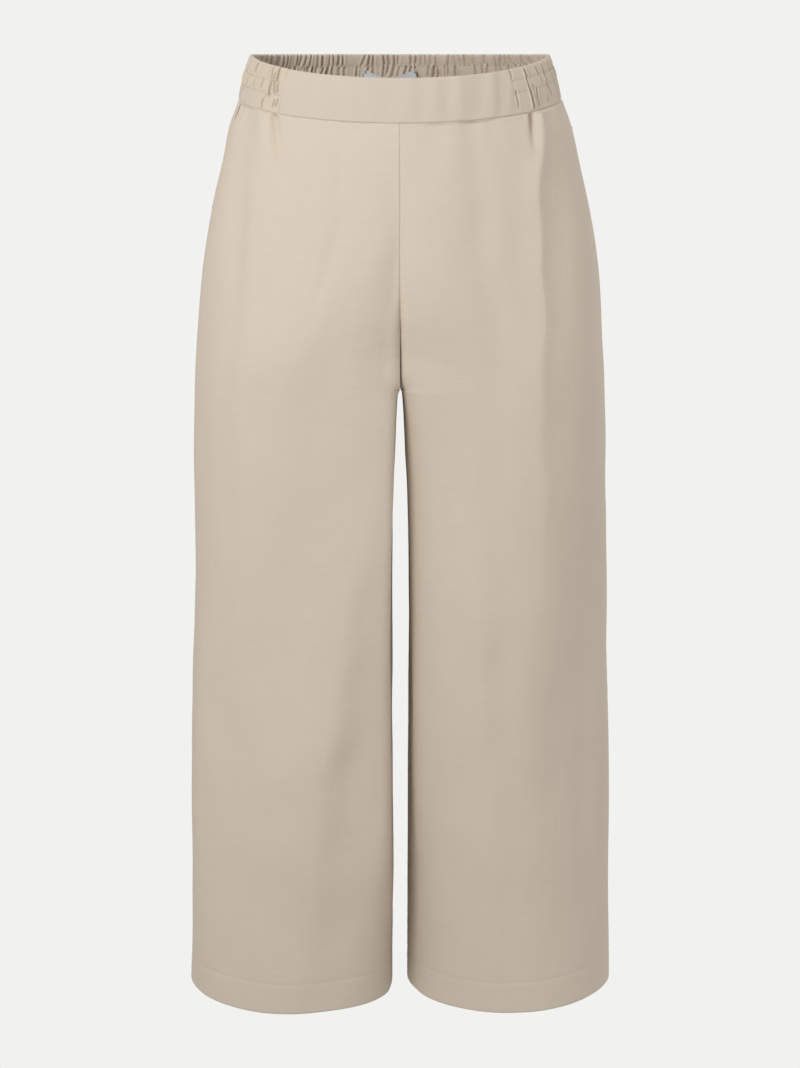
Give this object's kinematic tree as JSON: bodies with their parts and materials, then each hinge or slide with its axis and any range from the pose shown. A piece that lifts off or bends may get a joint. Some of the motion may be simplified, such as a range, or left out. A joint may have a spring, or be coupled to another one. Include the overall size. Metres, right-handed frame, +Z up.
{
  "type": "wide-leg trousers",
  "caption": "Cropped wide-leg pull-on trousers, hollow and filled out as worn, with a flat front waistband gathered on elastic at the sides and back, and side-seam pockets.",
  "frame": {"origin": "the wearer's waist: halfway up the waistband at the sides, on the waistband's centre axis", "axes": "+Z up along the legs, the garment's front faces -Y, +X is the wearer's left"},
  "size_m": [0.4146, 0.2725, 0.9007],
  "materials": {
    "front_cloth": "matt plain-woven linen blend, slubby",
    "back_cloth": "matt plain-woven linen blend, slubby",
    "band_cloth": "matt plain-woven linen blend, gathered on elastic",
    "pocket_cloth": "matt plain-woven cotton",
    "label_cloth": "smooth satin-woven label, bare"
  },
  "bodies": {
    "root": {"front_panel_right": "front_cloth", "front_panel_left": "front_cloth", "back_panel_right": "back_cloth", "back_panel_left": "back_cloth", "waistband_front": "band_cloth", "waistband_back": "band_cloth", "pocket_bag_right": "pocket_cloth", "pocket_bag_left": "pocket_cloth", "care_label": "label_cloth"}
  },
  "joints": []
}
